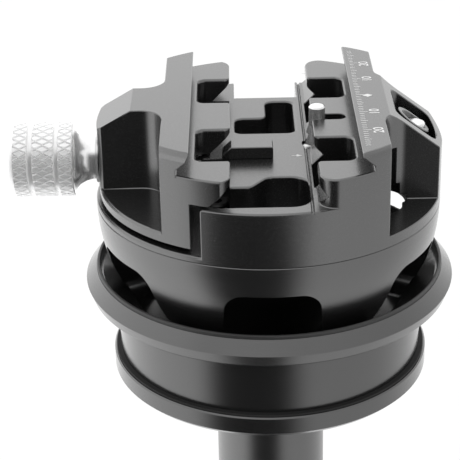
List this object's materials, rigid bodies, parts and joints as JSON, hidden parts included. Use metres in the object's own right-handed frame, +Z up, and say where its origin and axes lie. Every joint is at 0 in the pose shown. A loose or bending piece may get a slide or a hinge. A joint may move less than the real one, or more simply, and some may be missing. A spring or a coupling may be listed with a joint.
{
  "type": "tripod levelling head with a dual clamp",
  "caption": "Levelling tripod head: a windowed half ball in a rimmed bowl, locked by a column below, with a screw clamp for dovetail plates and rails on top.",
  "frame": {"origin": "on the head's axis, at the seat under the bowl's rim, where the drum that goes into a tripod begins", "axes": "+Z up through the ball and the clamp, -Y towards the user in the picture, +X from the knob towards the fixed jaw"},
  "size_m": [0.0971, 0.0816, 0.1503],
  "materials": {
    "bowl_anodised": "satin dark anodised, turned",
    "ball_anodised": "satin dark anodised, turned",
    "clamp_anodised": "fine blasted, dark anodised",
    "handle_anodised": "satin dark anodised",
    "knob_metal": "diamond knurled, clear anodised",
    "bright_steel": "ground bright",
    "screw_steel": "black oxide",
    "polymer": "dark bearing polymer",
    "seal_rubber": "matt"
  },
  "bodies": {
    "base": {"bowl": "bowl_anodised", "bowl_liner": "polymer", "base_flange": "bowl_anodised", "flange_seal": "seal_rubber", "flange_screws": "screw_steel"},
    "slip": {"slip_shell": "polymer"},
    "cup": {"pressure_cup": "bowl_anodised", "disc_springs": "bright_steel", "thrust_washer": "bright_steel"},
    "ball": {"half_ball": "ball_anodised", "tie_bolt": "screw_steel", "clamp_body": "clamp_anodised", "clamp_screws": "screw_steel", "recoil_lug": "clamp_anodised", "barrel_nut": "bright_steel", "guide_pins": "bright_steel", "jaw_springs": "bright_steel", "stop_spring": "screw_steel"},
    "jaw": {"moving_jaw": "clamp_anodised"},
    "knob": {"jaw_screw": "bright_steel", "clamp_knob": "knob_metal", "knob_collar": "knob_metal", "knob_washer": "bright_steel", "screw_clip": "screw_steel"},
    "stop": {"stop_pin": "bright_steel"},
    "handle": {"handle_tube": "handle_anodised", "handle_nut": "bright_steel", "handle_pin": "bright_steel", "handle_cap": "handle_anodised"}
  },
  "joints": [
    {"name": "tilt_x", "type": "hinge", "parent": "base", "child": "slip", "pos_m": [0, 0, 0.021], "axis": [1, 0, 0], "range_deg": [-10, 10]},
    {"name": "tilt_y", "type": "hinge", "parent": "slip", "child": "cup", "pos_m": [0, 0, 0.021], "axis": [0, 1, 0], "range_deg": [-10, 10]},
    {"name": "pan", "type": "hinge", "parent": "cup", "child": "ball", "pos_m": [0, 0, 0.021], "axis": [0, 0, 1], "continuous": true},
    {"name": "jaw_slide", "type": "slide", "parent": "ball", "child": "jaw", "axis": [1, 0, 0], "range_m": [-0.003, 0.002]},
    {"name": "knob_turn", "type": "hinge", "parent": "jaw", "child": "knob", "pos_m": [-0.045, 0, 0.0302], "axis": [1, 0, 0], "range_deg": [-1543, 1029]},
    {"name": "stop_pin_press", "type": "slide", "parent": "ball", "child": "stop", "axis": [0, 0, 1], "range_m": [-0.0023, 0], "stiffness_N_per_m": 300, "springref_m": 0.0015, "deforming": ["stop_spring"]},
    {"name": "handle_turn", "type": "hinge", "parent": "ball", "child": "handle", "pos_m": [0, 0, -0.0299], "axis": [0, 0, 1], "range_deg": [0, 180]}
  ],
  "couplings": [
    {"joint": "knob_turn", "follows": "jaw_slide", "rad_per_m": 8976}
  ]
}
